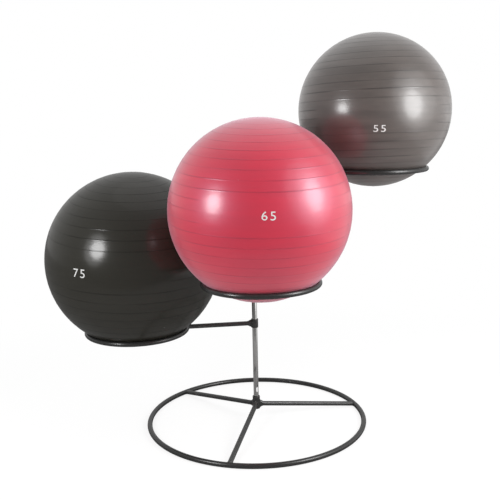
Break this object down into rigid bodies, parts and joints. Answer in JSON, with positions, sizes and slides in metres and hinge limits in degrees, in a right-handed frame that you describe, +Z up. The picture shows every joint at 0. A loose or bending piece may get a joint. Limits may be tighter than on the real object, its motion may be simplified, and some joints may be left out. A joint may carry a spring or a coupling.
{
  "type": "ball storage rack",
  "caption": "Free-standing rack for exercise balls: round tube base on spokes, upright pole, and swivelling arms at rising heights that each end in a ring with a ball lying in it.",
  "frame": {"origin": "on the floor, at the centre of the loaded rack's footprint; the pole's axis stands at x 0.0295, y 0.1732 m", "axes": "+Z up along the pole, -Y towards the viewer, so the middle arm points to the front; +X to the viewer's right, the upper arm's side"},
  "size_m": [1.6507, 1.3034, 1.633],
  "materials": {
    "powder_coat": "satin",
    "bright_plating": "polished",
    "zinc_steel": "satin",
    "spring_steel": "satin",
    "cap_plastic": "satin",
    "ball_black": "gloss",
    "ball_red": "gloss",
    "ball_grey": "gloss",
    "valve_plug": "satin"
  },
  "bodies": {
    "stand": {"base_ring": "powder_coat", "base_spoke_1": "powder_coat", "base_spoke_2": "powder_coat", "base_spoke_3": "powder_coat", "hub_sleeve": "powder_coat", "base_post": "zinc_steel", "pole_lower": "bright_plating", "pole_upper": "bright_plating", "pole_cap": "cap_plastic", "foot_lock_clip": "spring_steel", "joint_lock_clip": "spring_steel", "lower_stop_clip": "spring_steel", "middle_stop_clip": "spring_steel", "upper_stop_clip": "spring_steel"},
    "foot_lock": {"foot_lock_button": "zinc_steel"},
    "joint_lock": {"joint_lock_button": "zinc_steel"},
    "lower_stop": {"lower_stop_button": "zinc_steel"},
    "middle_stop": {"middle_stop_button": "zinc_steel"},
    "upper_stop": {"upper_stop_button": "zinc_steel"},
    "lower_swing": {"lower_collar": "powder_coat", "lower_arm": "powder_coat", "lower_ring": "powder_coat"},
    "lower_ball": {"lower_ball_shell": "ball_black", "lower_ball_plug": "valve_plug"},
    "middle_swing": {"middle_collar": "powder_coat", "middle_arm": "powder_coat", "middle_ring": "powder_coat"},
    "middle_ball": {"middle_ball_shell": "ball_red", "middle_ball_plug": "valve_plug"},
    "upper_swing": {"upper_collar": "powder_coat", "upper_arm": "powder_coat", "upper_ring": "powder_coat"},
    "upper_ball": {"upper_ball_shell": "ball_grey", "upper_ball_plug": "valve_plug"}
  },
  "joints": [
    {"name": "lower_arm_swivel", "type": "hinge", "parent": "stand", "child": "lower_swing", "pos_m": [0.0295, 0.17316, 0.441], "axis": [0, 0, 1], "range_deg": [-120, 5]},
    {"name": "middle_arm_swivel", "type": "hinge", "parent": "stand", "child": "middle_swing", "pos_m": [0.0295, 0.17316, 0.735], "axis": [0, 0, 1], "range_deg": [-5, 12]},
    {"name": "upper_arm_swivel", "type": "hinge", "parent": "stand", "child": "upper_swing", "pos_m": [0.0295, 0.17316, 1.1], "axis": [0, 0, 1], "range_deg": [-12, 120]},
    {"name": "lower_ball_lift", "type": "slide", "parent": "lower_swing", "child": "lower_ball", "axis": [0, 0, 1], "range_m": [0, 0.12]},
    {"name": "middle_ball_lift", "type": "slide", "parent": "middle_swing", "child": "middle_ball", "axis": [0, 0, 1], "range_m": [0, 0.12]},
    {"name": "upper_ball_lift", "type": "slide", "parent": "upper_swing", "child": "upper_ball", "axis": [0, 0, 1], "range_m": [0, 0.12]},
    {"name": "foot_lock_press", "type": "slide", "parent": "stand", "child": "foot_lock", "axis": [-0.5736, 0.8192, 0], "range_m": [0, 0.0018], "stiffness_N_per_m": 600, "springref_m": -0.003, "deforming": ["foot_lock_clip"]},
    {"name": "joint_lock_press", "type": "slide", "parent": "stand", "child": "joint_lock", "axis": [0.342, -0.9397, 0], "range_m": [0, 0.0018], "stiffness_N_per_m": 600, "springref_m": -0.003, "deforming": ["joint_lock_clip"]},
    {"name": "lower_stop_press", "type": "slide", "parent": "stand", "child": "lower_stop", "axis": [0.342, -0.9397, 0], "range_m": [0, 0.003], "stiffness_N_per_m": 600, "springref_m": -0.003, "deforming": ["lower_stop_clip"]},
    {"name": "middle_stop_press", "type": "slide", "parent": "stand", "child": "middle_stop", "axis": [0.342, -0.9397, 0], "range_m": [0, 0.003], "stiffness_N_per_m": 600, "springref_m": -0.003, "deforming": ["middle_stop_clip"]},
    {"name": "upper_stop_press", "type": "slide", "parent": "stand", "child": "upper_stop", "axis": [0.342, -0.9397, 0], "range_m": [0, 0.003], "stiffness_N_per_m": 600, "springref_m": -0.003, "deforming": ["upper_stop_clip"]}
  ]
}
